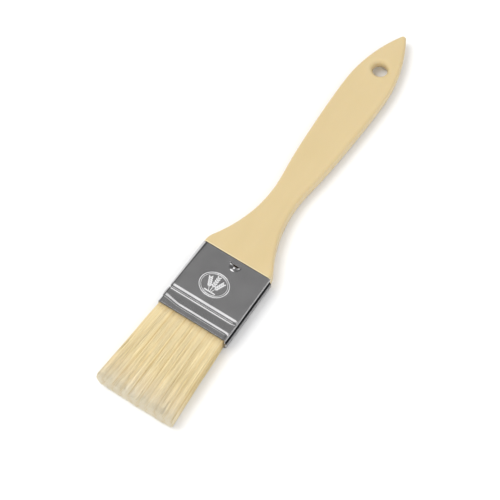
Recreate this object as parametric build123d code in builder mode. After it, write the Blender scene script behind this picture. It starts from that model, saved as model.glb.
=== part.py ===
"""Flat pastry brush: moulded plastic handle, wrapped steel ferrule, two packs of natural bristle.

The brush lies on its back on the XY plane. X runs along it, with the handle's tip at +X and the
bristle ends at -X; Y is its width and Z its thickness. The origin is the middle of its underside.
"""
import os
from math import cos, radians, sin

from build123d import *

# ---- driving dimensions, mm ----
TOTAL_LENGTH = 239.0
BRISTLE_FREE = 47.2          # bristle that shows, from the ferrule's mouth

FERRULE_LENGTH = 38.4
FERRULE_WIDTH = 38.7
FERRULE_THICK = 9.6
SHEET = 0.4                  # ferrule sheet
CORNER_R = 2.4               # outer corner of the ferrule's section

GROOVE_FROM_MOUTH = 9.7      # middle of the rolled groove
GROOVE_WIDTH = 4.2
GROOVE_DEPTH = 0.45
LIP_LENGTH = 3.8             # pinched band at the mouth
LIP_DEPTH = 0.55
LIP_SLOPE = 1.3              # length over which the sheet steps down to the lip

SEAM_THICK = 0.5             # outer layer of the lapped seam on the -Y side
SEAM_HEIGHT = 4.6
SEAM_BASE = 2.4

STAKE_FROM_EDGE = 3.1        # slit of the lanced stake, from the ferrule's handle end
STAKE_RADIUS = 3.0           # half the slit's length
STAKE_DEPTH = 0.9
STAKE_OFFSET_Y = -1.4

BADGE_FROM_EDGE = 17.2       # stamped oval on the front
BADGE_LENGTH = 13.0
BADGE_WIDTH = 15.5
BADGE_LINE = 0.6
BADGE_DEPTH = 0.12
BADGE_OFFSET_Y = 1.3

# handle plan: half widths, and distances along X from the ferrule's handle end
SHOULDER_HALF = 18.6
SHOULDER_STRAIGHT = 0.9
SHOULDER_R = 8.0             # convex corner of the shoulder
SHOULDER_TURN = 31.4         # degrees that the shoulder turns before it sweeps in to the neck
NECK_R = 70.5
SWELL_AT = 58.0              # the sides swell smoothly from the neck, fast and then slower
SWELL_HALF = 8.6
GRIP_AT = 80.0
GRIP_HALF = 10.4
BELLY_AT = 114.0
BELLY_HALF = 11.6
NOSE_R = 1.6                 # the pointed tip's own radius
EDGE_R = 1.5                 # rounding along the handle's faces
SHOULDER_EDGE_R = 0.5
EDGE_GAP = 0.01              # an edge shorter than this along X runs straight across the handle

# handle thickness
SHOULDER_FLAT = 2.0          # length that stays as thick as the ferrule
NECK_THICK = 7.6
HOLE_THICK = 6.0

HOLE_AT = 129.6
HOLE_R = 3.8
HOLE_RIM_R = 2.4

# inside the ferrule
TANG_LENGTH = 17.0
TANG_CORNER_R = 1.9
FIT_GAP = 0.05               # tang to sheet
RESIN_LENGTH = 5.4
PLUG_LENGTH = 11.5
PLUG_THICK = 2.4
PLUG_SIDE_GAP = 1.6

# bristle packs
FLEX_FROM_MOUTH = 7.0        # the line that the free bristle bends about
FLEX_GAP = 0.3
PACK_HALF = 3.8              # half thickness of both packs where they leave the mouth
PACK_SIDE = 17.7             # half width there
ENDS_HALF = 4.6              # half thickness and half width at the bristle ends
ENDS_SIDE = 21.3
ENDS_CORNER_R = 1.5

# ---- derived places ----
MID_Z = FERRULE_THICK / 2
TIP_X = TOTAL_LENGTH / 2
ENDS_X = -TOTAL_LENGTH / 2
MOUTH_X = ENDS_X + BRISTLE_FREE
EDGE_X = MOUTH_X + FERRULE_LENGTH
LIP_X = MOUTH_X + LIP_LENGTH
GROOVE_X = MOUTH_X + GROOVE_FROM_MOUTH
TANG_X = EDGE_X - TANG_LENGTH
BUTT_X = TANG_X - RESIN_LENGTH
PLUG_X = BUTT_X - PLUG_LENGTH
FLEX_X = MOUTH_X - FLEX_FROM_MOUTH
STUB_X = FLEX_X + PACK_HALF + FLEX_GAP
INNER_WIDTH = FERRULE_WIDTH - 2 * SHEET
INNER_THICK = FERRULE_THICK - 2 * SHEET
INNER_R = CORNER_R - SHEET
MID_PLANE = Plane(origin=(0, 0, MID_Z), z_dir=(0, 0, 1))
SIDE_VIEW_MID = Plane(origin=(0, MID_Z, 0), z_dir=(0, 1, 0))   # the same, in a side sketch's own axes

os.makedirs("parts", exist_ok=True)


def save(builder, name):
    """Label one finished piece and write it as a STEP file."""
    builder.part.label = name
    export_step(builder.part, f"parts/{name}.step")


# ---- stakes: half-moon tongues slit across the sheet and pressed in on the slit's mouth side ----
STAKE_BALL_R = (STAKE_RADIUS**2 + STAKE_DEPTH**2) / (2 * STAKE_DEPTH)
STAKE_X = EDGE_X - STAKE_FROM_EDGE


def half_ball(radius, side):
    """The mouth-side half of a ball that dips into the front (side 1) or the back (side -1)."""
    centre_z = MID_Z + side * (MID_Z - STAKE_DEPTH + STAKE_BALL_R)
    ball = Pos(STAKE_X, STAKE_OFFSET_Y, centre_z) * Sphere(radius)
    mouth_side = Pos(STAKE_X - radius, STAKE_OFFSET_Y, centre_z) * Box(2 * radius, 2 * radius, 2 * radius)
    return ball & mouth_side


ferrule_block = Pos((MOUTH_X + EDGE_X) / 2, 0, MID_Z) * Box(FERRULE_LENGTH, FERRULE_WIDTH, FERRULE_THICK)
stake_dents = [half_ball(STAKE_BALL_R, side) for side in (1, -1)]
stake_tongues = [
    (half_ball(STAKE_BALL_R + SHEET, side) - half_ball(STAKE_BALL_R, side)) & ferrule_block
    for side in (1, -1)
]
stake_pockets = [half_ball(STAKE_BALL_R + SHEET + FIT_GAP, side) for side in (1, -1)]


# ---- ferrule: one strip of sheet wrapped round, with a rolled groove and a pinched lip ----
def sheet_line(top):
    """One face of the sheet from the mouth to the handle end, drawn at height top."""
    groove_start = (GROOVE_X - GROOVE_WIDTH / 2, top)
    groove_end = (GROOVE_X + GROOVE_WIDTH / 2, top)
    lip_end = (LIP_X - LIP_SLOPE, top - LIP_DEPTH)
    Line((MOUTH_X, top - LIP_DEPTH), lip_end)
    Spline(lip_end, (LIP_X, top), tangents=((1, 0), (1, 0)))
    Line((LIP_X, top), groove_start)
    Spline(groove_start, (GROOVE_X, top - GROOVE_DEPTH), groove_end, tangents=((1, 0), (1, 0)))
    Line(groove_end, (EDGE_X, top))


with BuildSketch(Plane.YZ.offset(EDGE_X)) as ferrule_outline:
    with Locations((0, MID_Z)):
        RectangleRounded(FERRULE_WIDTH, FERRULE_THICK, CORNER_R)

with BuildPart() as ferrule:
    with BuildSketch(Plane.XZ):
        with BuildLine():
            sheet_line(FERRULE_THICK)
            sheet_line(FERRULE_THICK - SHEET)
            Line((MOUTH_X, FERRULE_THICK - LIP_DEPTH - SHEET), (MOUTH_X, FERRULE_THICK - LIP_DEPTH))
            Line((EDGE_X, FERRULE_THICK - SHEET), (EDGE_X, FERRULE_THICK))
        make_face()
    sweep(path=ferrule_outline.sketch.faces()[0].outer_wire())
    # lapped seam: the strip's outer end stands on the -Y side
    with BuildSketch(Plane.XZ.offset(FERRULE_WIDTH / 2)):
        with Locations(((LIP_X + EDGE_X) / 2, SEAM_BASE + SEAM_HEIGHT / 2)):
            Rectangle(EDGE_X - LIP_X, SEAM_HEIGHT)
    extrude(amount=SEAM_THICK)
    for dent, tongue in zip(stake_dents, stake_tongues):
        add(dent, mode=Mode.SUBTRACT)
        add(tongue)
    # stamped oval on the front
    with BuildSketch(Plane.XY.offset(FERRULE_THICK)):
        with Locations((EDGE_X - BADGE_FROM_EDGE, BADGE_OFFSET_Y)):
            Ellipse(BADGE_LENGTH / 2, BADGE_WIDTH / 2)
            Ellipse(BADGE_LENGTH / 2 - BADGE_LINE, BADGE_WIDTH / 2 - BADGE_LINE, mode=Mode.SUBTRACT)
    extrude(amount=-BADGE_DEPTH, mode=Mode.SUBTRACT)
save(ferrule, "ferrule")

# ---- handle: one moulding, with the tang that the ferrule is fixed to ----
turn = radians(SHOULDER_TURN)
corner_start = (EDGE_X + SHOULDER_STRAIGHT, SHOULDER_HALF)
corner_end = (
    corner_start[0] + SHOULDER_R * sin(turn),
    SHOULDER_HALF - SHOULDER_R * (1 - cos(turn)),
)
neck = (
    corner_end[0] + NECK_R * sin(turn),
    corner_end[1] - NECK_R * (1 - cos(turn)),
)
swell = (EDGE_X + SWELL_AT, SWELL_HALF)
grip = (EDGE_X + GRIP_AT, GRIP_HALF)
belly = (EDGE_X + BELLY_AT, BELLY_HALF)

# each side arc leaves the belly level and runs tangentially into the nose's circle
nose_run = TIP_X - NOSE_R - belly[0]
side_r = (nose_run**2 + BELLY_HALF**2 - NOSE_R**2) / (2 * (BELLY_HALF - NOSE_R))
side_drop = side_r - BELLY_HALF
side_share = side_r / (side_r - NOSE_R)
nose_start = (belly[0] + nose_run * side_share, side_drop * side_share - side_drop)

hole_x = EDGE_X + HOLE_AT
thin_slope = (HOLE_THICK - NECK_THICK) / 2 / (hole_x - neck[0])
neck_top = (neck[0], MID_Z + NECK_THICK / 2)
tip_top = (TIP_X, neck_top[1] + thin_slope * (TIP_X - neck[0]))
shoulder_top = (EDGE_X + SHOULDER_FLAT, FERRULE_THICK)

with BuildPart() as handle:
    with BuildSketch(Plane.XY):
        with BuildLine():
            Polyline((TIP_X, 0), (EDGE_X, 0), (EDGE_X, SHOULDER_HALF), corner_start)
            TangentArc(corner_start, corner_end, tangent=(1, 0))
            TangentArc(corner_end, neck, tangent=(cos(turn), -sin(turn)))
            Spline(neck, swell, grip, belly, tangents=((1, 0), (1, 0)))
            TangentArc(belly, nose_start, tangent=(1, 0))
            TangentArc(nose_start, (TIP_X, 0), tangent=(side_drop, -nose_run))
        make_face()
        mirror(about=Plane.XZ)
    extrude(amount=FERRULE_THICK)
    # the side view thins from the shoulder to the tip
    with BuildSketch(Plane.XZ):
        with BuildLine():
            Polyline((TIP_X, MID_Z), (EDGE_X, MID_Z), (EDGE_X, FERRULE_THICK), shoulder_top)
            Spline(shoulder_top, neck_top, tangents=((1, 0), (1, thin_slope)))
            Polyline(neck_top, tip_top, (TIP_X, MID_Z))
        make_face()
        mirror(about=SIDE_VIEW_MID)
    extrude(amount=FERRULE_WIDTH, both=True, mode=Mode.INTERSECT)
    broad_faces = handle.faces().filter_by(lambda face: abs(face.normal_at().Z) > 0.9)
    side_edges = broad_faces.edges().filter_by(lambda edge: edge.bounding_box().size.X > EDGE_GAP)
    fillet(side_edges, EDGE_R)
    fillet(handle.faces().sort_by(Axis.X)[0].edges(), SHOULDER_EDGE_R)
    # hanging hole with well rounded rims
    with Locations((hole_x, 0, MID_Z)):
        Hole(HOLE_R)
    bore = handle.faces().filter_by(GeomType.CYLINDER).sort_by_distance((hole_x, 0, MID_Z))[0]
    fillet(bore.edges().filter_by(GeomType.ELLIPSE), HOLE_RIM_R)
    # tang inside the ferrule, with a pocket for each stake
    with BuildSketch(Plane.YZ.offset(TANG_X)):
        with Locations((0, MID_Z)):
            RectangleRounded(INNER_WIDTH - 2 * FIT_GAP, INNER_THICK - 2 * FIT_GAP, TANG_CORNER_R)
    extrude(amount=TANG_LENGTH + SHOULDER_EDGE_R)
    for pocket in stake_pockets:
        add(pocket, mode=Mode.SUBTRACT)
save(handle, "handle")

# ---- resin: cast into the ferrule below the tang, it holds the bristle butts ----
with BuildPart() as resin:
    with BuildSketch(Plane.YZ.offset(BUTT_X)):
        with Locations((0, MID_Z)):
            RectangleRounded(INNER_WIDTH, INNER_THICK, INNER_R)
    extrude(amount=RESIN_LENGTH)
save(resin, "resin_set")

# ---- plug: the strip that wedges the two packs apart inside the ferrule ----
with BuildPart() as plug:
    with BuildSketch(MID_PLANE):
        with Locations(((BUTT_X + PLUG_X) / 2, 0)):
            RectangleRounded(PLUG_LENGTH, INNER_WIDTH - 2 * PLUG_SIDE_GAP, CORNER_R / 2)
    extrude(amount=PLUG_THICK / 2, both=True)
save(plug, "spacer_plug")

# ---- bristle roots: the clamped length of each pack, from the butts to just outside the mouth ----
mouth_plane = Plane.YZ.offset(MOUTH_X)

with BuildPart() as clamped_bristle:
    with BuildSketch(mouth_plane):
        with Locations((0, MID_Z)):
            RectangleRounded(INNER_WIDTH + SHEET, INNER_THICK + SHEET, CORNER_R)
    extrude(amount=BUTT_X - MOUTH_X)
    add(ferrule.part, mode=Mode.SUBTRACT)
    add(plug.part, mode=Mode.SUBTRACT)
# the largest solid is the one inside the sheet
inside_sheet = clamped_bristle.solids().sort_by(SortBy.VOLUME)[-1]

for side, keep in (("front", Keep.TOP), ("back", Keep.BOTTOM)):
    with BuildPart() as roots:
        add(inside_sheet)
        with BuildSketch(mouth_plane):
            with Locations((0, MID_Z)):
                RectangleRounded(2 * PACK_SIDE, 2 * PACK_HALF, INNER_R / 2)
        extrude(amount=STUB_X - MOUTH_X)
        split(bisect_by=MID_PLANE, keep=keep)
    save(roots, f"bristle_roots_{side}")

# ---- free bristle: the length of each pack that bends, with a round heel on the flex line ----
with BuildPart() as free_bristle:
    with BuildSketch(Plane.XZ):
        with BuildLine():
            heel_top = (FLEX_X, MID_Z + PACK_HALF)
            heel_low = (FLEX_X, MID_Z - PACK_HALF)
            Polyline(heel_top, (ENDS_X, MID_Z + ENDS_HALF), (ENDS_X, MID_Z - ENDS_HALF), heel_low)
            ThreePointArc(heel_low, (FLEX_X + PACK_HALF, MID_Z), heel_top)
        make_face()
    extrude(amount=ENDS_SIDE, both=True)
    with BuildSketch(Plane.XY) as fan:
        heel_x = FLEX_X + PACK_HALF
        with BuildLine():
            Polyline(
                (heel_x, PACK_SIDE),
                (ENDS_X, ENDS_SIDE),
                (ENDS_X, -ENDS_SIDE),
                (heel_x, -PACK_SIDE),
                close=True,
            )
        make_face()
        fillet(fan.vertices().group_by(Axis.X)[0], ENDS_CORNER_R)
    extrude(amount=FERRULE_THICK, mode=Mode.INTERSECT)

for side, keep in (("front", Keep.TOP), ("back", Keep.BOTTOM)):
    with BuildPart() as bristles:
        add(free_bristle.part)
        split(bisect_by=MID_PLANE, keep=keep)
    save(bristles, f"bristles_{side}")
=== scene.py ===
"""Pastry brush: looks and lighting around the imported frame."""
import math

import bpy
import numpy as np
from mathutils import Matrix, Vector


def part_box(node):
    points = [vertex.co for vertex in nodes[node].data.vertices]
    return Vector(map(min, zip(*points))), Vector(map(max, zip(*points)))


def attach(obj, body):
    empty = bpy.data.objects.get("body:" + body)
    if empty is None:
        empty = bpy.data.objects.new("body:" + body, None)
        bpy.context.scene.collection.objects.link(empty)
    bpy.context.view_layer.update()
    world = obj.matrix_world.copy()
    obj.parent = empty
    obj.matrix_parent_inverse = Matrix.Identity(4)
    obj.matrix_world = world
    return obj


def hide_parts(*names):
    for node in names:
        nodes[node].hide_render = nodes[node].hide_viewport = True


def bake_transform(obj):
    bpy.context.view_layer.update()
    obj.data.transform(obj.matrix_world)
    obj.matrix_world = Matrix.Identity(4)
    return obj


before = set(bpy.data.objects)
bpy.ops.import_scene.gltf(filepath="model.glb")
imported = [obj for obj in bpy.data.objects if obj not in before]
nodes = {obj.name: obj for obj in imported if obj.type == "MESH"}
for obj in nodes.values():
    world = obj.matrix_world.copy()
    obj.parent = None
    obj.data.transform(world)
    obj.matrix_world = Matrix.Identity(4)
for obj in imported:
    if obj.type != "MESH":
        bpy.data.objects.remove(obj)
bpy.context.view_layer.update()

MM = 0.001

# ---- places, all from the frame ----
FERRULE_LOW, FERRULE_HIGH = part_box("ferrule")
FREE_LOW, FREE_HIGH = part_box("bristles_front")
MOUTH_X = FERRULE_LOW.x
EDGE_X = FERRULE_HIGH.x
ENDS_X = FREE_LOW.x
MID_Z = (FERRULE_LOW.z + FERRULE_HIGH.z) / 2
HALF_T = (FERRULE_HIGH.z - FERRULE_LOW.z) / 2
HALF_W = FERRULE_HIGH.y
ENDS_SIDE = FREE_HIGH.y
FREE_LENGTH = MOUTH_X - ENDS_X


# ======================================================================== materials
def new_material(name):
    """A new node material, its node tree and its Principled shader."""
    material = bpy.data.materials.new(name)
    material.use_nodes = True
    tree = material.node_tree
    shader = tree.nodes["Principled BSDF"]
    return material, tree, shader


def add_node(tree, kind, **values):
    """A shader node with its inputs or properties set by name."""
    node = tree.nodes.new(kind)
    for key, value in values.items():
        if key in node.inputs:
            node.inputs[key].default_value = value
        else:
            setattr(node, key, value)
    return node


def noise(tree, vector, scale, detail=4.0, roughness=0.55):
    """A noise texture on the given vector socket."""
    node = add_node(tree, "ShaderNodeTexNoise", Scale=scale, Detail=detail, Roughness=roughness)
    tree.links.new(vector, node.inputs["Vector"])
    return node


def stretch(tree, scale_xyz):
    """Object coordinates stretched along each axis."""
    coords = tree.nodes.new("ShaderNodeTexCoord")
    mapping = tree.nodes.new("ShaderNodeMapping")
    mapping.inputs["Scale"].default_value = scale_xyz
    tree.links.new(coords.outputs["Object"], mapping.inputs["Vector"])
    return mapping.outputs["Vector"]


def ramp(tree, factor, stops):
    """A colour ramp from (position, colour) stops."""
    node = tree.nodes.new("ShaderNodeValToRGB")
    elements = node.color_ramp.elements
    while len(elements) < len(stops):
        elements.new(0.5)
    for element, (position, colour) in zip(elements, stops):
        element.position = position
        element.color = (*colour, 1.0)
    tree.links.new(factor, node.inputs["Fac"])
    return node.outputs["Color"]


def map_range(tree, value, low, high):
    """Spreads 0..1 over low..high."""
    node = add_node(tree, "ShaderNodeMapRange")
    node.inputs["To Min"].default_value = low
    node.inputs["To Max"].default_value = high
    tree.links.new(value, node.inputs["Value"])
    return node.outputs["Result"]


def bump(tree, shader, height, strength, distance):
    """Bump from a height socket."""
    node = add_node(tree, "ShaderNodeBump", Strength=strength, Distance=distance)
    tree.links.new(height, node.inputs["Height"])
    tree.links.new(node.outputs["Normal"], shader.inputs["Normal"])


def place_mask(tree, axis, full, none):
    """1 where the object coordinate along an axis is at full, falling to 0 at none."""
    coords = tree.nodes.new("ShaderNodeTexCoord")
    split = tree.nodes.new("ShaderNodeSeparateXYZ")
    tree.links.new(coords.outputs["Object"], split.inputs["Vector"])
    node = add_node(tree, "ShaderNodeMapRange", interpolation_type="SMOOTHSTEP")
    node.inputs["From Min"].default_value = none
    node.inputs["From Max"].default_value = full
    tree.links.new(split.outputs[axis], node.inputs["Value"])
    return node.outputs["Result"]


def blend_colours(tree, factor, low, high, blend_type="MIX"):
    """Mixes two colours, each a socket or a fixed colour."""
    node = tree.nodes.new("ShaderNodeMix")
    node.data_type = "RGBA"
    node.blend_type = blend_type
    for socket, value in ((node.inputs["Factor"], factor), (node.inputs[6], low), (node.inputs[7], high)):
        if isinstance(value, bpy.types.NodeSocket):
            tree.links.new(value, socket)
        else:
            socket.default_value = (*value, 1.0) if isinstance(value, tuple) else value
    return node.outputs[2]


def combine(tree, operation, first, second):
    """A maths node on two sockets or numbers."""
    node = add_node(tree, "ShaderNodeMath", operation=operation)
    for socket, value in zip(node.inputs, (first, second)):
        if isinstance(value, bpy.types.NodeSocket):
            tree.links.new(value, socket)
        else:
            socket.default_value = value
    return node.outputs[0]


def handle_plastic():
    """Moulded ivory plastic: slight flow mottle, a satin skin, a parting line, a painted highlight along the
    end edge and painted shade on the tang inside the ferrule.
    """
    material, tree, shader = new_material("handle_plastic")
    flow = noise(tree, stretch(tree, (18.0, 60.0, 60.0)), 1.0, 3.0)
    colour = ramp(tree, flow.outputs["Fac"], [(0.30, (0.645, 0.508, 0.272)), (0.72, (0.680, 0.538, 0.298))])
    # painted highlight: a lighter band along the handle's end edge next to the ferrule, standing in for
    # light on the shoulder's fillet
    edge_highlight_painted = place_mask(tree, "X", EDGE_X + 0.20 * MM, EDGE_X + 0.60 * MM)
    colour = blend_colours(tree, edge_highlight_painted, colour, (0.82, 0.69, 0.44))
    # painted shade: the tang inside the ferrule is near black, so the gap at the ferrule's end and the slit
    # above it look dark
    tang_painted_shade = place_mask(tree, "X", EDGE_X - 0.06 * MM, EDGE_X + 0.04 * MM)
    colour = blend_colours(tree, tang_painted_shade, colour, (0.035, 0.020, 0.010))
    tree.links.new(colour, shader.inputs["Base Color"])
    skin = noise(tree, stretch(tree, (900.0, 900.0, 900.0)), 1.0, 2.0)
    tree.links.new(map_range(tree, skin.outputs["Fac"], 0.30, 0.42), shader.inputs["Roughness"])
    above = place_mask(tree, "Z", MID_Z - 0.02 * MM, MID_Z - 0.12 * MM)
    below = place_mask(tree, "Z", MID_Z + 0.02 * MM, MID_Z + 0.12 * MM)
    parting_line = combine(tree, "MULTIPLY", above, below)
    height = combine(tree, "ADD", combine(tree, "MULTIPLY", skin.outputs["Fac"], 0.12), parting_line)
    bump(tree, shader, height, 0.6, 0.00006)
    shader.inputs["Subsurface Weight"].default_value = 0.12
    shader.inputs["Subsurface Radius"].default_value = (0.004, 0.0025, 0.001)
    shader.inputs["Subsurface Scale"].default_value = 0.6
    shader.inputs["Specular IOR Level"].default_value = 0.5
    return material


def rolled_steel():
    """Thin rolled steel strip, with fine darker stripes along the brush on the band between the groove and
    the lip.
    """
    material, tree, shader = new_material("ferrule_steel")
    shader.inputs["Metallic"].default_value = 1.0
    lines = noise(tree, stretch(tree, (60.0, 3200.0, 3200.0)), 1.0, 3.0, 0.6)
    patches = noise(tree, stretch(tree, (140.0, 140.0, 140.0)), 1.0, 3.0, 0.5)
    colour = ramp(tree, patches.outputs["Fac"], [(0.3, (0.56, 0.555, 0.56)), (0.7, (0.63, 0.625, 0.63))])
    coords = tree.nodes.new("ShaderNodeTexCoord")
    hatch = add_node(tree, "ShaderNodeTexWave", Scale=560.0, Distortion=0.6, bands_direction="Y")
    tree.links.new(coords.outputs["Object"], hatch.inputs["Vector"])
    after_lip = place_mask(tree, "X", MOUTH_X + 4.9 * MM, MOUTH_X + 4.3 * MM)
    groove = place_mask(tree, "X", MOUTH_X + 8.0 * MM, MOUTH_X + 7.4 * MM)
    band = combine(tree, "MULTIPLY", after_lip, combine(tree, "SUBTRACT", 1.0, groove))
    # fine darker stripes along the brush, only on the band between the lip and the groove
    band_stripes = combine(tree, "MULTIPLY", band, combine(tree, "MULTIPLY", hatch.outputs["Fac"], 0.30))
    colour = blend_colours(tree, band_stripes, colour, (0.20, 0.20, 0.20))
    etched = add_node(tree, "ShaderNodeAttribute", attribute_name="etched").outputs["Fac"]
    colour = blend_colours(tree, etched, colour, (0.88, 0.88, 0.89))
    tree.links.new(colour, shader.inputs["Base Color"])
    frosting = combine(tree, "MULTIPLY", etched, 0.25)
    roughness = combine(tree, "ADD", map_range(tree, lines.outputs["Fac"], 0.13, 0.16), frosting)
    tree.links.new(roughness, shader.inputs["Roughness"])
    dulled = combine(tree, "MULTIPLY", etched, 0.7)
    tree.links.new(combine(tree, "SUBTRACT", 1.0, dulled), shader.inputs["Metallic"])
    bump(tree, shader, lines.outputs["Fac"], 0.05, 0.00001)
    return material


def speckled_steel(name, low, high, metallic, roughness):
    """Steel that isn't bright, for two pieces: the outer lap of the seam, darkened as painted shade standing
    in for the shadowed floor it mirrors, and a sheared edge, made pale as a painted highlight.
    """
    material, tree, shader = new_material(name)
    shader.inputs["Metallic"].default_value = metallic
    shader.inputs["Roughness"].default_value = roughness
    speckle = noise(tree, stretch(tree, (1500.0, 2600.0, 2600.0)), 1.0, 4.0, 0.7)
    colour = ramp(tree, speckle.outputs["Fac"], [(0.36, low), (0.64, high)])
    tree.links.new(colour, shader.inputs["Base Color"])
    bump(tree, shader, speckle.outputs["Fac"], 0.25, 0.00004)
    return material


def bristle_hair():
    """Natural bristle: warm at the root, pale and dry at the flagged tip, each one a little different, and
    darker at the edges of each lock as painted shade.
    """
    material, tree, shader = new_material("bristle")
    along = add_node(tree, "ShaderNodeAttribute", attribute_name="along")
    tone_and_lock_shade = add_node(tree, "ShaderNodeAttribute", attribute_name="tone_and_lock_shade")
    body = ramp(
        tree,
        along.outputs["Fac"],
        [
            (0.00, (0.82, 0.64, 0.35)),
            (0.08, (0.95, 0.82, 0.53)),
            (0.60, (0.96, 0.83, 0.53)),
            (0.82, (1.00, 0.885, 0.64)),
            (1.00, (1.00, 0.935, 0.78)),
        ],
    )
    # random tone of each bristle, with painted shade darkening it at the edges of its lock
    own = [(0.0, (0.86, 0.77, 0.56)), (0.5, (0.98, 0.96, 0.91)), (1.0, (1.0, 1.0, 1.0))]
    shade = ramp(tree, tone_and_lock_shade.outputs["Fac"], own)
    tree.links.new(blend_colours(tree, 1.0, body, shade, "MULTIPLY"), shader.inputs["Base Color"])
    shader.inputs["Roughness"].default_value = 0.42
    shader.inputs["Specular IOR Level"].default_value = 0.35
    shader.inputs["Sheen Weight"].default_value = 0.15
    return material


def plain_noise_material(name, low, high, roughness, scale_xyz):
    """A simple two-tone material, for the pieces sealed inside and the dark slot of the seam."""
    material, tree, shader = new_material(name)
    grain = noise(tree, stretch(tree, scale_xyz), 1.0, 5.0)
    tree.links.new(ramp(tree, grain.outputs["Fac"], [(0.3, low), (0.7, high)]), shader.inputs["Base Color"])
    shader.inputs["Roughness"].default_value = roughness
    bump(tree, shader, grain.outputs["Fac"], 0.2, 0.0001)
    return material


PLASTIC = handle_plastic()
STEEL = rolled_steel()
BRISTLE = bristle_hair()
SEAM_DARK = plain_noise_material(
    "seam_shadow", (0.006, 0.006, 0.007), (0.016, 0.016, 0.017), 0.5, (400.0, 400.0, 400.0)
)
# painted shade: the outer lap is darkened as if it mirrored the shadowed floor beside the seam
LAP_PAINTED_SHADE = speckled_steel("lap_steel_painted_shade", (0.14, 0.14, 0.145), (0.36, 0.355, 0.36), 0.25, 0.38)
# sheared edges: rough like real cut steel, and pale as a painted highlight so that the cut lines read bright
SHEARED_PAINTED_HIGHLIGHT = speckled_steel("sheared_steel_painted_highlight", (0.62, 0.62, 0.63), (0.80, 0.80, 0.81), 0.35, 0.4)
RESIN = plain_noise_material("resin", (0.45, 0.28, 0.09), (0.60, 0.40, 0.15), 0.25, (120.0, 120.0, 120.0))
PLUG = plain_noise_material("plug_wood", (0.52, 0.36, 0.20), (0.70, 0.52, 0.31), 0.7, (300.0, 40.0, 300.0))


def dress(node, material):
    """Gives a carried-over CAD node its material."""
    mesh = nodes[node].data
    mesh.materials.clear()
    mesh.materials.append(material)


dress("handle", PLASTIC)
dress("ferrule", STEEL)
dress("resin_set", RESIN)
dress("spacer_plug", PLUG)


# ======================================================================== mesh helpers
def mesh_object(name, points, faces, material, smooth=True):
    """A mesh object from a point array and a face array or list."""
    mesh = bpy.data.meshes.new(name)
    mesh.from_pydata(points, [], faces)
    mesh.materials.append(material)
    if smooth:
        mesh.polygons.foreach_set("use_smooth", np.ones(len(mesh.polygons), bool))
    mesh.update()
    obj = bpy.data.objects.new(name, mesh)
    bpy.context.scene.collection.objects.link(obj)
    return obj


def smooth_step(value, low, high):
    """0 below low, 1 above high, smooth between."""
    share = np.clip((value - low) / (high - low), 0, 1)
    return share * share * (3 - 2 * share)


# ======================================================================== ferrule
SHEET = 0.4 * MM
SHEET_LENGTH = 38.08                     # mm from the mouth to the handle end of the sheet
SLIT_AT = 35.3                           # mm from the mouth to the near side of the slit
SLIT_WIDTH = 0.08                        # mm along the brush between the slit's two rows
MOUTH_ROLL = 0.16                        # mm that the rolled edge stands past the first row
END_ROLL = 0.05                          # mm that the handle edge stands past the last row
BRIGHT, DARK, LAP, CUT = range(4)        # the ferrule's material slots
STAKE_X = EDGE_X - 3.1 * MM
STAKE_Y = -1.4 * MM
STAKE_HALF = 3.0 * MM
SLIT_OPEN = 0.3 * MM
BADGE_X = EDGE_X - 17.2 * MM
BADGE_Y = 1.3 * MM
BADGE_HALF_X = 6.5 * MM
BADGE_HALF_Y = 7.75 * MM
LEFT_HALF = HALF_W - 0.10 * MM           # the +Y side: its waves reach the part's own width
RIGHT_HALF = HALF_W - 0.05 * MM          # the inner layer on the -Y side, under the lap
SLOT_INSET = 0.30 * MM
FOLD_R = 0.45 * MM
LOW_R = 2.2 * MM
PLAIN_TOP = 2 * HALF_T - 0.15 * MM       # the plain sheet, leaving room for the badge's relief
SEAM_TOP = 5.6 * MM                      # top of the lapped outer layer on the -Y side
SEAM_SLOT_TOP = PLAIN_TOP - 0.7 * MM
LAP_PROUD_TOP = 0.50 * MM                # how far the lap stands out at its top and further down
LAP_PROUD_LOW = 0.40 * MM
LEDGE_NEAR = 0.15 * MM                   # the ledge on top of the lap, from the slot outwards
LEDGE_FAR = 0.45 * MM
LOW_LIFT = 0.15 * MM                     # keeps the waves of the underside above the rest plane
SEAM_INNER = 1.2 * MM                    # inner skin behind the seam, in from the inner layer
STAKE_REACH_X = 3.9 * MM
STAKE_REACH_Y = 3.5 * MM
BADGE_HEIGHT = 0.10 * MM
CORNER_R = 1.4 * MM                      # top corner on the +Y side at the mouth
CORNER_R_GAIN = 1.6 * MM                 # its growth in width and in height towards the handle
CORNER_HIGH_GAIN = 1.0 * MM
ROLLED_END = 0.55 * MM                   # length over which the handle end of the sheet is turned in
# slope of the sheet along the brush: (mm from the mouth, fall towards the mouth)
PINCHED_LIP = [(0.0, 1.80), (0.18, 0.90), (0.30, 0.0), (0.4, -0.03), (2.5, -0.03)]
STEP_UP = [(2.8, 0.55), (3.0, 0.50), (3.15, 0.19), (3.9, 0.13), (4.2, 0.0)]
GROOVE_NEAR = [(7.9, 0.0), (8.05, -0.14), (8.85, -0.22), (9.0, -0.55), (9.4, -0.60), (9.6, -0.05)]
GROOVE_FAR = [(9.85, 0.05), (10.0, 0.60), (10.2, 0.50), (10.35, 0.19), (11.3, 0.13), (11.7, 0.0)]
PROFILE = PINCHED_LIP + STEP_UP + GROOVE_NEAR + GROOVE_FAR


def uneven(stops):
    """Sample places from (end, step) stops, starting at the first stop's place."""
    place = stops[0]
    samples = [place]
    for end, step in stops[1:]:
        count = max(1, round(abs(end - place) / step))
        samples.extend(np.linspace(place, end, count + 1)[1:])
        place = end
    return np.array(samples)


def stroke(distance, half_width, soft=0.12 * MM):
    """1 on a stroke, falling softly to 0 outside it."""
    return 1 - smooth_step(distance, half_width, half_width + soft)


def segment_distance(x, y, ax, ay, bx, by):
    """Distance from each point to a straight segment."""
    dx, dy = bx - ax, by - ay
    share = np.clip(((x - ax) * dx + (y - ay) * dy) / (dx * dx + dy * dy), 0, 1)
    return np.hypot(x - ax - share * dx, y - ay - share * dy)


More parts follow.
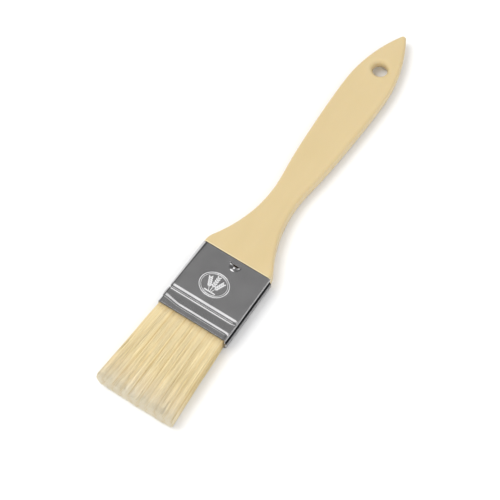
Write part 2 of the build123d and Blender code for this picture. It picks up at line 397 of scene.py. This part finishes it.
def wheat_ear(x, y, base_x, base_y, length, lean):
    """Relief of one ear of wheat growing along +X."""
    ux, uy = math.cos(lean), math.sin(lean)
    tip_x, tip_y = base_x + ux * length, base_y + uy * length
    height = stroke(segment_distance(x, y, base_x, base_y, tip_x, tip_y), 0.09 * MM)
    grains = 5
    for k in range(grains):
        at = length * (0.42 + 0.145 * k)
        for side in (-1, 1):
            cx = base_x + ux * at - uy * side * 0.62 * MM
            cy = base_y + uy * at + ux * side * 0.62 * MM
            turn = lean + side * 0.45
            along = (x - cx) * math.cos(turn) + (y - cy) * math.sin(turn)
            across = -(x - cx) * math.sin(turn) + (y - cy) * math.cos(turn)
            reach = np.hypot(along / (0.78 * MM), across / (0.36 * MM))
            height = np.maximum(height, 1 - smooth_step(reach, 0.65, 1.15))
    return height


def badge_relief(x, y):
    """Stamped oval with three ears of wheat and a ground line, 0..1."""
    bx, by = x - BADGE_X, y - BADGE_Y
    oval = np.hypot(bx / BADGE_HALF_X, by / BADGE_HALF_Y)
    scale = (BADGE_HALF_X + BADGE_HALF_Y) / 2
    height = stroke(np.abs(oval - 0.97) * scale, 0.11 * MM)
    height = np.maximum(height, 0.8 * stroke(np.abs(oval - 0.86) * scale, 0.07 * MM))
    height = np.maximum(height, wheat_ear(bx, by, -4.0 * MM, 0.0, 8.4 * MM, 0.0))
    height = np.maximum(height, wheat_ear(bx, by, -3.9 * MM, 0.7 * MM, 7.2 * MM, 0.42))
    height = np.maximum(height, wheat_ear(bx, by, -3.9 * MM, -0.7 * MM, 7.2 * MM, -0.42))
    ground = segment_distance(bx, by, -4.1 * MM, -3.0 * MM, -4.1 * MM, 3.0 * MM)
    return np.maximum(height, stroke(ground, 0.12 * MM))


def stake_depth(x, y):
    """How far the lanced half-moon presses the sheet in (positive) or lifts it (negative)."""
    reach = np.hypot((x - STAKE_X) / STAKE_REACH_X, (y - STAKE_Y) / STAKE_REACH_Y)
    bowl = np.clip(1 - reach**2, 0, 1) ** 2
    dish = np.exp(-(reach**2) * 0.8)
    pressed = 0.92 * MM * bowl + 0.10 * MM * dish
    lifted = -0.10 * MM * bowl + 0.10 * MM * dish
    return np.where(x < STAKE_X + 0.01 * MM, pressed, lifted)


def waviness(x, y):
    """Slight unevenness of the formed sheet."""
    return 0.018 * MM * (
        np.sin(x * 210 + y * 95 + 0.6) + 0.7 * np.sin(x * 120 - y * 260 + 2.1) + 0.5 * np.sin(y * 420 + 1.3)
    )


PROFILE_AT = np.linspace(0, 12, 601)
PROFILE_SLOPE = np.interp(PROFILE_AT, *np.array(PROFILE).T)
PROFILE_DEPTH = np.cumsum(PROFILE_SLOPE[::-1])[::-1] * (PROFILE_AT[1] - PROFILE_AT[0])


def rolled_depth(from_mouth):
    """Depth of the groove and the pinched lip, from the distance to the mouth in mm."""
    return np.interp(from_mouth, PROFILE_AT, PROFILE_DEPTH) * MM


def sheet_depth(x, y, face):
    """Depth of the groove, the pinched lip, the stakes and the badge below the plain section."""
    from_mouth = (x - MOUTH_X) / MM
    fade = smooth_step(y, -HALF_W, -HALF_W + 2.6 * MM)
    corner = smooth_step(y, 0.45 * HALF_W, 0.95 * HALF_W)
    # the lip's step is longer and softer towards the +Y corner
    stretched = np.where(from_mouth < 7.9, from_mouth / (1 + 0.38 * corner), from_mouth)
    depth = rolled_depth(stretched) * (0.12 + 0.88 * fade)
    depth = depth + waviness(x, y + face * 0.004)
    depth = depth + 0.12 * MM * smooth_step(x, EDGE_X - ROLLED_END, EDGE_X) ** 2
    depth = depth + np.where(np.abs(face) > 0.5, stake_depth(x, y), 0)
    return depth - np.where(face > 0.5, BADGE_HEIGHT * badge_relief(x, y), 0)


def ferrule_columns():
    """Columns round the section: each is (kind, share along its flat or arc)."""
    top = uneven([1.0, (0.55, 0.026), (-0.40, 0.0072), (-1.0, 0.026)])
    low = uneven([-1.0, (-0.30, 0.04), (0.14, 0.018), (1.0, 0.04)])
    fine_arc = np.linspace(0, 1, 18)[1:-1]
    side = np.linspace(0, 1, 16)[1:-1]
    columns = [("top", v) for v in top]
    columns += [("fold", v) for v in np.linspace(0, 1, 6)[1:-1]]
    columns += [("slot", v) for v in (0.0, 0.04, 0.3, 0.7, 1.0)]
    columns += [("ledge", v) for v in (0.0, 0.5, 1.0)]
    columns += [("flap", v) for v in (0.03, 0.1, 0.4, 0.7, 1.0)]
    columns += [("low_right", v) for v in fine_arc]
    columns += [("low", v) for v in low]
    columns += [("low_left", v) for v in fine_arc]
    columns += [("left", v) for v in side]
    columns += [("top_left", v) for v in fine_arc]
    return columns


def section_point(kind, share, left_r, left_high):
    """One point of the plain section at its column: (y, z from the bottom, normal y, normal z, face)."""
    turn = share * math.pi / 2
    sin, cos = math.sin(turn), math.cos(turn)
    if kind == "top":
        left_end, right_end = LEFT_HALF - left_r, FOLD_R - RIGHT_HALF
        y = (left_end + right_end) / 2 + (left_end - right_end) / 2 * share
        return y, PLAIN_TOP, 0.0, 1.0, 1.0
    if kind == "fold":
        return FOLD_R - RIGHT_HALF - FOLD_R * sin, PLAIN_TOP - FOLD_R + FOLD_R * cos, -sin, cos, 0.0
    if kind == "slot":
        inset = 0.0 if share == 0.0 else SLOT_INSET
        return inset - RIGHT_HALF, SEAM_SLOT_TOP + (SEAM_TOP - SEAM_SLOT_TOP) * share, -1.0, 0.0, 0.0
    if kind == "flap":
        proud = LAP_PROUD_TOP + (LAP_PROUD_LOW - LAP_PROUD_TOP) * share
        return -RIGHT_HALF - proud, SEAM_TOP + (LOW_R - SEAM_TOP) * share, -1.0, 0.0, 0.0
    if kind == "ledge":
        proud = LEDGE_NEAR + (LEDGE_FAR - LEDGE_NEAR) * share
        return -RIGHT_HALF - proud, SEAM_TOP, 0.0, 1.0, 0.0
    if kind == "low_right":
        reach = LOW_R + LAP_PROUD_LOW
        return LOW_R - RIGHT_HALF - reach * cos, LOW_R - LOW_R * sin, -cos, -sin, 0.0
    if kind == "low":
        left_end, right_end = LEFT_HALF - LOW_R, LOW_R - RIGHT_HALF
        y = (left_end + right_end) / 2 + (left_end - right_end) / 2 * share
        return y, 0.0, 0.0, -1.0, -1.0
    if kind == "low_left":
        return LEFT_HALF - LOW_R + LOW_R * sin, LOW_R - LOW_R * cos, sin, -cos, 0.0
    if kind == "left":
        return LEFT_HALF, LOW_R + (PLAIN_TOP - left_high - LOW_R) * share, 1.0, 0.0, 0.0
    length = math.hypot(left_high * cos, left_r * sin)
    y = LEFT_HALF - left_r + left_r * cos
    z = PLAIN_TOP - left_high + left_high * sin
    return y, z, left_high * cos / length, left_r * sin / length, 0.0


def ferrule_rows():
    """Places along the brush of the section's rows, and the row at the near side of the slit."""
    lip_and_groove = [(4.6, 0.13), (7.8, 0.4), (11.6, 0.12), (14.4, 0.4)]
    badge_and_stake = [(28.0, 0.14), (30.6, 0.3), (SLIT_AT, 0.17)]
    from_mouth = uneven([MOUTH_ROLL, *lip_and_groove, *badge_and_stake])
    beyond_slit = uneven([SLIT_AT + SLIT_WIDTH, (36.4, 0.2), (37.4, 0.3), (SHEET_LENGTH, 0.1)])
    return MOUTH_X + np.concatenate([from_mouth, beyond_slit]) * MM, len(from_mouth) - 1


def ferrule_skins(rows, slit_row, columns):
    """Outer and inner skin of the sheet: one point for each row and column."""
    count = len(columns)
    outer = np.empty((len(rows), count, 3))
    inner = np.empty((len(rows), count, 3))
    at_seam = [k for k, (kind, share) in enumerate(columns) if kind in ("slot", "ledge", "flap")]
    for i, x in enumerate(rows):
        along = (x - MOUTH_X) / (EDGE_X - MOUTH_X)
        left_r = CORNER_R + CORNER_R_GAIN * along**1.3
        left_high = CORNER_R + CORNER_HIGH_GAIN * along
        section = np.array([section_point(kind, share, left_r, left_high) for kind, share in columns])
        section[:, 1] += LOW_LIFT * (section[:, 3] < 0)
        y, z, ny, nz, face = section.T
        depth = sheet_depth(np.full(count, x), y, face)
        x_here = np.full(count, x)
        if i == slit_row:
            across = np.clip(np.abs(y - STAKE_Y) / STAKE_HALF, 0, 1)
            x_here = x_here - SLIT_OPEN * np.sqrt(1 - across**2) * (np.abs(face) > 0.5)
        if i == slit_row + 1:
            ends = np.exp(-(((np.abs(y - STAKE_Y) - STAKE_HALF + 0.25 * MM) / (0.30 * MM)) ** 2))
            x_here = x_here + 0.35 * MM * ends * (np.abs(face) > 0.5)
        outer[i] = np.stack([x_here, y - ny * depth, z - nz * depth + FERRULE_LOW.z], -1)
        within = depth + SHEET
        inner[i] = np.stack([x_here, y - ny * within, z - nz * within + FERRULE_LOW.z], -1)
        inner[i, at_seam, 1] = SEAM_INNER - RIGHT_HALF
    return outer, inner


def skin_finish(kind, is_tongue_edge):
    """Material slot of a face on the outer skin."""
    if kind == "slot":
        return DARK
    if kind in ("ledge", "flap", "low_right"):
        return LAP
    return CUT if is_tongue_edge else BRIGHT


def make_ferrule():
    """The wrapped sheet: outer and inner skins, rolled mouth, slit stakes and the lapped seam."""
    rows, slit_row = ferrule_rows()
    columns = ferrule_columns()
    count = len(columns)
    outer, inner = ferrule_skins(rows, slit_row, columns)
    # each end has one more row between the skins, so that its edge is rounded
    mouth_edge = (outer[0] + inner[0]) / 2 + np.array([-MOUTH_ROLL * MM, 0, 0])
    handle_edge = (outer[-1] + inner[-1]) / 2 + np.array([END_ROLL * MM, 0, 0])

    inner_rows = sorted({0, slit_row, slit_row + 1, len(rows) - 1, *range(0, len(rows), 4)})
    inner_points = inner[inner_rows].reshape(-1, 3)
    points = np.concatenate([outer.reshape(-1, 3), inner_points, mouth_edge, handle_edge])
    inner_at = len(rows) * count
    edge_at = inner_at + len(inner_rows) * count
    slit = {
        k
        for k, (kind, share) in enumerate(columns)
        if kind in ("top", "low") and abs(outer[slit_row, k, 1] - STAKE_Y) < STAKE_HALF
    }

    def ring(k):
        return (k + 1) % count

    faces, finish = [], []
    for i in range(len(rows) - 1):
        a, b = i * count, (i + 1) * count
        for k in range(count):
            in_slit = k in slit and ring(k) in slit
            if i == slit_row and in_slit:
                continue
            faces.append((a + k, b + k, b + ring(k), a + ring(k)))
            finish.append(skin_finish(columns[k][0], i == slit_row - 1 and in_slit))
    for j in range(len(inner_rows) - 1):
        a, b = inner_at + j * count, inner_at + (j + 1) * count
        for k in range(count):
            if inner_rows[j] == slit_row and k in slit and ring(k) in slit:
                continue
            faces.append((a + k, a + ring(k), b + ring(k), b + k))
            finish.append(BRIGHT)
    # cut edges along the slit, then its two ends
    slit_out, beyond_out = slit_row * count, (slit_row + 1) * count
    slit_in = inner_at + inner_rows.index(slit_row) * count
    beyond_in = inner_at + inner_rows.index(slit_row + 1) * count
    for k in slit:
        if ring(k) in slit:
            faces.append((slit_out + k, slit_in + k, slit_in + ring(k), slit_out + ring(k)))
            faces.append((beyond_out + k, beyond_out + ring(k), beyond_in + ring(k), beyond_in + k))
            finish += [CUT, CUT]
    for k in slit:
        a, b = slit_out + k, beyond_out + k
        if ring(k) not in slit:
            faces.append((a, b, beyond_in + k, slit_in + k))
            finish.append(BRIGHT)
        if (k - 1) % count not in slit:
            faces.append((a, slit_in + k, beyond_in + k, b))
            finish.append(BRIGHT)
    # rolled mouth and handle edge
    last_out, last_in = (len(rows) - 1) * count, inner_at + (len(inner_rows) - 1) * count
    for k in range(count):
        mouth, end = edge_at + k, edge_at + count + k
        mouth_next, end_next = edge_at + ring(k), edge_at + count + ring(k)
        faces.append((k, ring(k), mouth_next, mouth))
        faces.append((mouth, mouth_next, inner_at + ring(k), inner_at + k))
        faces.append((last_out + k, end, end_next, last_out + ring(k)))
        faces.append((end, last_in + k, last_in + ring(k), end_next))
        finish += [BRIGHT] * 4

    ferrule = mesh_object("ferrule_sheet", points, faces, STEEL)
    for extra in (SEAM_DARK, LAP_PAINTED_SHADE, SHEARED_PAINTED_HIGHLIGHT):
        ferrule.data.materials.append(extra)
    ferrule.data.polygons.foreach_set("material_index", np.array(finish, np.int32))
    etched = np.zeros(len(points))
    upper = np.array([kind == "top" for kind, share in columns])
    etched[:inner_at] = (badge_relief(outer[..., 0], outer[..., 1]) * upper).ravel()
    attribute = ferrule.data.attributes.new("etched", "FLOAT", "POINT")
    attribute.data.foreach_set("value", etched.astype(np.float32))
    ferrule.data.set_sharp_from_angle(angle=math.radians(38))
    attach(ferrule, "brush")
    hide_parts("ferrule")


make_ferrule()


# ======================================================================== bristles
ROOT_HALF_T = 3.6 * MM
BELLY_HALF_T = 4.25 * MM
ENDS_HALF_T = 4.35 * MM
ROOT_SIDE = 17.9 * MM
HIDDEN_ROOT = 2.5 * MM       # length that starts inside the ferrule
LOCKS = 9
RINGS = 9
SIDES = 3
STRAND_R = 0.10 * MM


def pack_of_strands(name, seed, z_low, z_high, columns, rows):
    """Separate tapered bristles filling one layer of the pack, from z_low to z_high in -1..1."""
    rng = np.random.default_rng(seed)
    count = columns * rows
    column, row = np.meshgrid(np.arange(columns), np.arange(rows), indexing="ij")
    jitter = rng.uniform(-0.5, 0.5, (2, count))
    side = ((column.ravel() + 0.5 + jitter[0]) / columns) * 2 - 1
    deep = z_low + (z_high - z_low) * (row.ravel() + 0.5 + jitter[1]) / rows

    # locks: neighbouring bristles lean together towards the ends
    edges = np.linspace(-1, 1, LOCKS + 1) + np.concatenate(([0], rng.uniform(-0.05, 0.05, LOCKS - 1), [0]))
    lock = np.clip(np.searchsorted(edges, side) - 1, 0, LOCKS - 1)
    centre = (edges[lock] + edges[lock + 1]) / 2
    lean = rng.normal(0, 0.006, LOCKS)[lock]
    pull = rng.uniform(0.02, 0.07, LOCKS)[lock]
    lock_length = rng.normal(0, 0.35, LOCKS)[lock]
    half_lock = (edges[lock + 1] - edges[lock]) / 2
    from_centre = np.abs(side - centre) / half_lock
    stray = rng.normal(0, 1, (4, count))

    end_side = side + (centre - side) * pull + lean + stray[0] * 0.012
    end_side = np.clip(end_side, -0.99, 0.99)
    corner = np.clip((np.abs(end_side) - 0.90) / 0.10, 0, 1) ** 2
    length = FREE_LENGTH - (0.15 + 0.45 * corner - lock_length * 0.4) * MM
    length -= np.abs(stray[1]) * 0.45 * MM
    length -= np.abs(deep) ** 3 * 0.25 * MM
    length = np.minimum(length, FREE_LENGTH)

    t = np.linspace(0, 1, RINGS)[None, :]
    x = MOUTH_X + HIDDEN_ROOT - (HIDDEN_ROOT + length[:, None]) * t
    out = np.clip((MOUTH_X - x) / FREE_LENGTH, 0, 1)
    # the pack swells just outside the lip and fans out towards the ends
    swell = 0.5 * MM
    fan_y = ROOT_SIDE + swell * smooth_step(out, 0.0, 0.12) + (ENDS_SIDE - ROOT_SIDE - swell) * out**1.5
    fan_z = ROOT_HALF_T + (BELLY_HALF_T - ROOT_HALF_T) * smooth_step(out, 0.0, 0.3)
    fan_z = fan_z + (ENDS_HALF_T - BELLY_HALF_T) * out
    share = smooth_step(out, 0.15, 1.0)
    y = fan_y * (side[:, None] + (end_side - side)[:, None] * share)
    crown = 1 - 0.07 * (from_centre[:, None] ** 2) * smooth_step(out, 0.05, 0.5)
    z = fan_z * crown * (deep[:, None] + stray[2][:, None] * 0.03 * share)
    bow = np.sin(np.pi * out)
    y = y + bow * stray[3][:, None] * 0.10 * MM
    y = np.clip(y, -ENDS_SIDE + STRAND_R, ENDS_SIDE - STRAND_R)
    z = np.clip(z, -HALF_T + 2 * STRAND_R, HALF_T - 2 * STRAND_R) + MID_Z

    taper = 1.0 - 0.30 * smooth_step(t, 0.7, 1.0)
    radius = STRAND_R * rng.uniform(0.8, 1.15, (count, 1)) * taper
    turn = rng.uniform(0, 2 * np.pi, count)[:, None, None]
    angle = turn + np.arange(SIDES)[None, None, :] * 2 * np.pi / SIDES
    points = np.empty((count, RINGS, SIDES, 3))
    points[..., 0] = x[..., None]
    points[..., 1] = y[..., None] + radius[..., None] * np.cos(angle)
    points[..., 2] = z[..., None] + radius[..., None] * np.sin(angle)

    base = (np.arange(count) * RINGS * SIDES)[:, None, None]
    ring = (np.arange(RINGS - 1) * SIDES)[None, :, None]
    corner_index = np.arange(SIDES)[None, None, :]
    after = (corner_index + 1) % SIDES
    quads = np.stack(
        [
            base + ring + corner_index,
            base + ring + SIDES + corner_index,
            base + ring + SIDES + after,
            base + ring + after,
        ],
        -1,
    ).reshape(-1, 4)
    first = np.arange(count)[:, None] * RINGS * SIDES
    cap_start = first + np.arange(SIDES)[None, :]
    cap_end = first + (RINGS - 1) * SIDES + np.arange(SIDES)[::-1][None, :]
    faces = [*quads.tolist(), *cap_start.tolist(), *cap_end.tolist()]

    obj = mesh_object(name, points.reshape(-1, 3), faces, BRISTLE)
    along = np.broadcast_to(out[..., None], (count, RINGS, SIDES))
    # each bristle's own random tone, lowered towards the edges of its lock: painted shade in the creases
    # between the locks
    own_tone_and_lock_shade = np.clip(rng.uniform(0.3, 1.0, count) - 0.45 * from_centre**4, 0, 1)
    tone_and_lock_shade = np.broadcast_to(own_tone_and_lock_shade[:, None, None], (count, RINGS, SIDES))
    for key, values in (("along", along), ("tone_and_lock_shade", tone_and_lock_shade)):
        attribute = obj.data.attributes.new(key, "FLOAT", "POINT")
        attribute.data.foreach_set("value", np.ascontiguousarray(values, np.float32).ravel())
    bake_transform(obj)
    return obj


layers = [
    ("bristle_strands_front_outer", 11, 0.55, 1.0, 450, 8, "bristles_front"),
    ("bristle_strands_front_inner", 12, 0.0, 0.55, 420, 8, "bristle_roots_front"),
    ("bristle_strands_back_inner", 13, -0.55, 0.0, 420, 8, "bristle_roots_back"),
    ("bristle_strands_back_outer", 14, -1.0, -0.55, 450, 8, "bristles_back"),
]
for name, seed, z_low, z_high, columns, rows, stands_for in layers:
    strands = pack_of_strands(name, seed, z_low, z_high, columns, rows)
    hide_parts(stands_for)


# ======================================================================== stage, camera and light
AZIMUTH = math.radians(-56.42)
ELEVATION = math.radians(63.0)
DISTANCE = 0.864
LENS = 129.2                   # mm, on a sensor SENSOR mm wide
SENSOR = 36.0
FLOOR_HALF = 3.0
FLOOR_GAP = 0.0002             # the floor lies this far below the brush
DOME = (0.76, 0.76, 0.76)      # brightness of the dome that lights matt surfaces
TARGET = Vector((-0.02243, 0.00012, 0.0))
RIGHT = Vector((math.cos(AZIMUTH), math.sin(AZIMUTH), 0))
AWAY = Vector((-math.sin(AZIMUTH), math.cos(AZIMUTH), 0))
UP = Vector((0, 0, 1))


def make_floor():
    """A plain pale floor."""
    half = FLOOR_HALF
    corners = [(-half, -half, 0), (half, -half, 0), (half, half, 0), (-half, half, 0)]
    material, tree, shader = new_material("floor")
    shader.inputs["Base Color"].default_value = (0.96, 0.96, 0.96, 1)
    shader.inputs["Roughness"].default_value = 0.9
    shader.inputs["Specular IOR Level"].default_value = 0.1
    floor = mesh_object("floor", corners, [(0, 1, 2, 3)], material, smooth=False)
    floor.location.z = FERRULE_LOW.z - FLOOR_GAP


def area_light(name, right, away, height, size, power):
    """A square softbox placed in the camera's ground axes and aimed at the brush."""
    data = bpy.data.lights.new(name, "AREA")
    data.shape = "SQUARE"
    data.size = size
    data.energy = power
    light = bpy.data.objects.new(name, data)
    light.location = TARGET + RIGHT * right + AWAY * away + UP * height
    light.rotation_euler = (TARGET - light.location).to_track_quat("-Z", "Y").to_euler()
    light.visible_glossy = False
    bpy.context.scene.collection.objects.link(light)


def make_camera():
    """The camera at the photograph's viewing angle."""
    data = bpy.data.cameras.new("camera")
    data.lens = LENS
    data.sensor_width = SENSOR
    data.clip_start = 0.01
    camera = bpy.data.objects.new("camera", data)
    back = -AWAY * math.cos(ELEVATION) + UP * math.sin(ELEVATION)
    camera.location = TARGET + back * DISTANCE
    camera.rotation_euler = (-back).to_track_quat("-Z", "Y").to_euler()
    bpy.context.scene.collection.objects.link(camera)
    bpy.context.scene.camera = camera


def make_world():
    """Surroundings by kind of ray: white to the camera, an even dome as light, a dim room in reflections."""
    world = bpy.data.worlds.new("studio")
    bpy.context.scene.world = world
    world.use_nodes = True
    world.cycles.sampling_method = "NONE"
    tree = world.node_tree
    coords = tree.nodes.new("ShaderNodeTexCoord")
    split = tree.nodes.new("ShaderNodeSeparateXYZ")
    tree.links.new(coords.outputs["Generated"], split.inputs["Vector"])
    # grey of the room, from the horizon and below (0) to straight up (1)
    greys = [(0.0, 0.32), (0.25, 0.27), (0.60, 0.13), (0.87, 0.30), (1.0, 0.34)]
    room = ramp(tree, split.outputs["Z"], [(place, (grey,) * 3) for place, grey in greys])
    # panels: direction in the camera's ground axes and up, radius in degrees, brightness;
    # the last is a dark flag
    panels = [
        ((-0.13, 0.20, 0.97), 8.0, 1.15),
        ((0.22, 0.76, 0.61), 9.0, 1.7),
        ((0.55, 0.05, 0.83), 10.0, 1.0),
        ((-0.53, 0.80, 0.28), 15.0, 0.8),
        ((-0.20, 0.60, 0.77), 6.0, -0.14),
    ]
    for (right, away, up), radius, brightness in panels:
        direction = (RIGHT * right + AWAY * away + UP * up).normalized()
        facing = add_node(tree, "ShaderNodeVectorMath", operation="DOT_PRODUCT")
        tree.links.new(coords.outputs["Generated"], facing.inputs[0])
        facing.inputs[1].default_value = direction
        edge = add_node(tree, "ShaderNodeMapRange", interpolation_type="SMOOTHSTEP")
        edge.inputs["From Min"].default_value = math.cos(math.radians(radius * 1.35))
        edge.inputs["From Max"].default_value = math.cos(math.radians(radius * 0.75))
        edge.inputs["To Max"].default_value = brightness
        tree.links.new(facing.outputs["Value"], edge.inputs["Value"])
        room = blend_colours(tree, 1.0, room, edge.outputs["Result"], "ADD")
    path = tree.nodes.new("ShaderNodeLightPath")
    seen = blend_colours(tree, path.outputs["Is Glossy Ray"], DOME, room)
    seen = blend_colours(tree, path.outputs["Is Camera Ray"], seen, (1.0, 1.0, 1.0))
    tree.links.new(seen, tree.nodes["Background"].inputs["Color"])


bpy.context.scene.view_settings.view_transform = "Standard"
make_floor()
make_camera()
make_world()
area_light("key_softbox", -0.65, 0.1, 1.3, 0.8, 9.5)
area_light("front_softbox", 0.3, -1.1, 0.9, 0.9, 4.5)
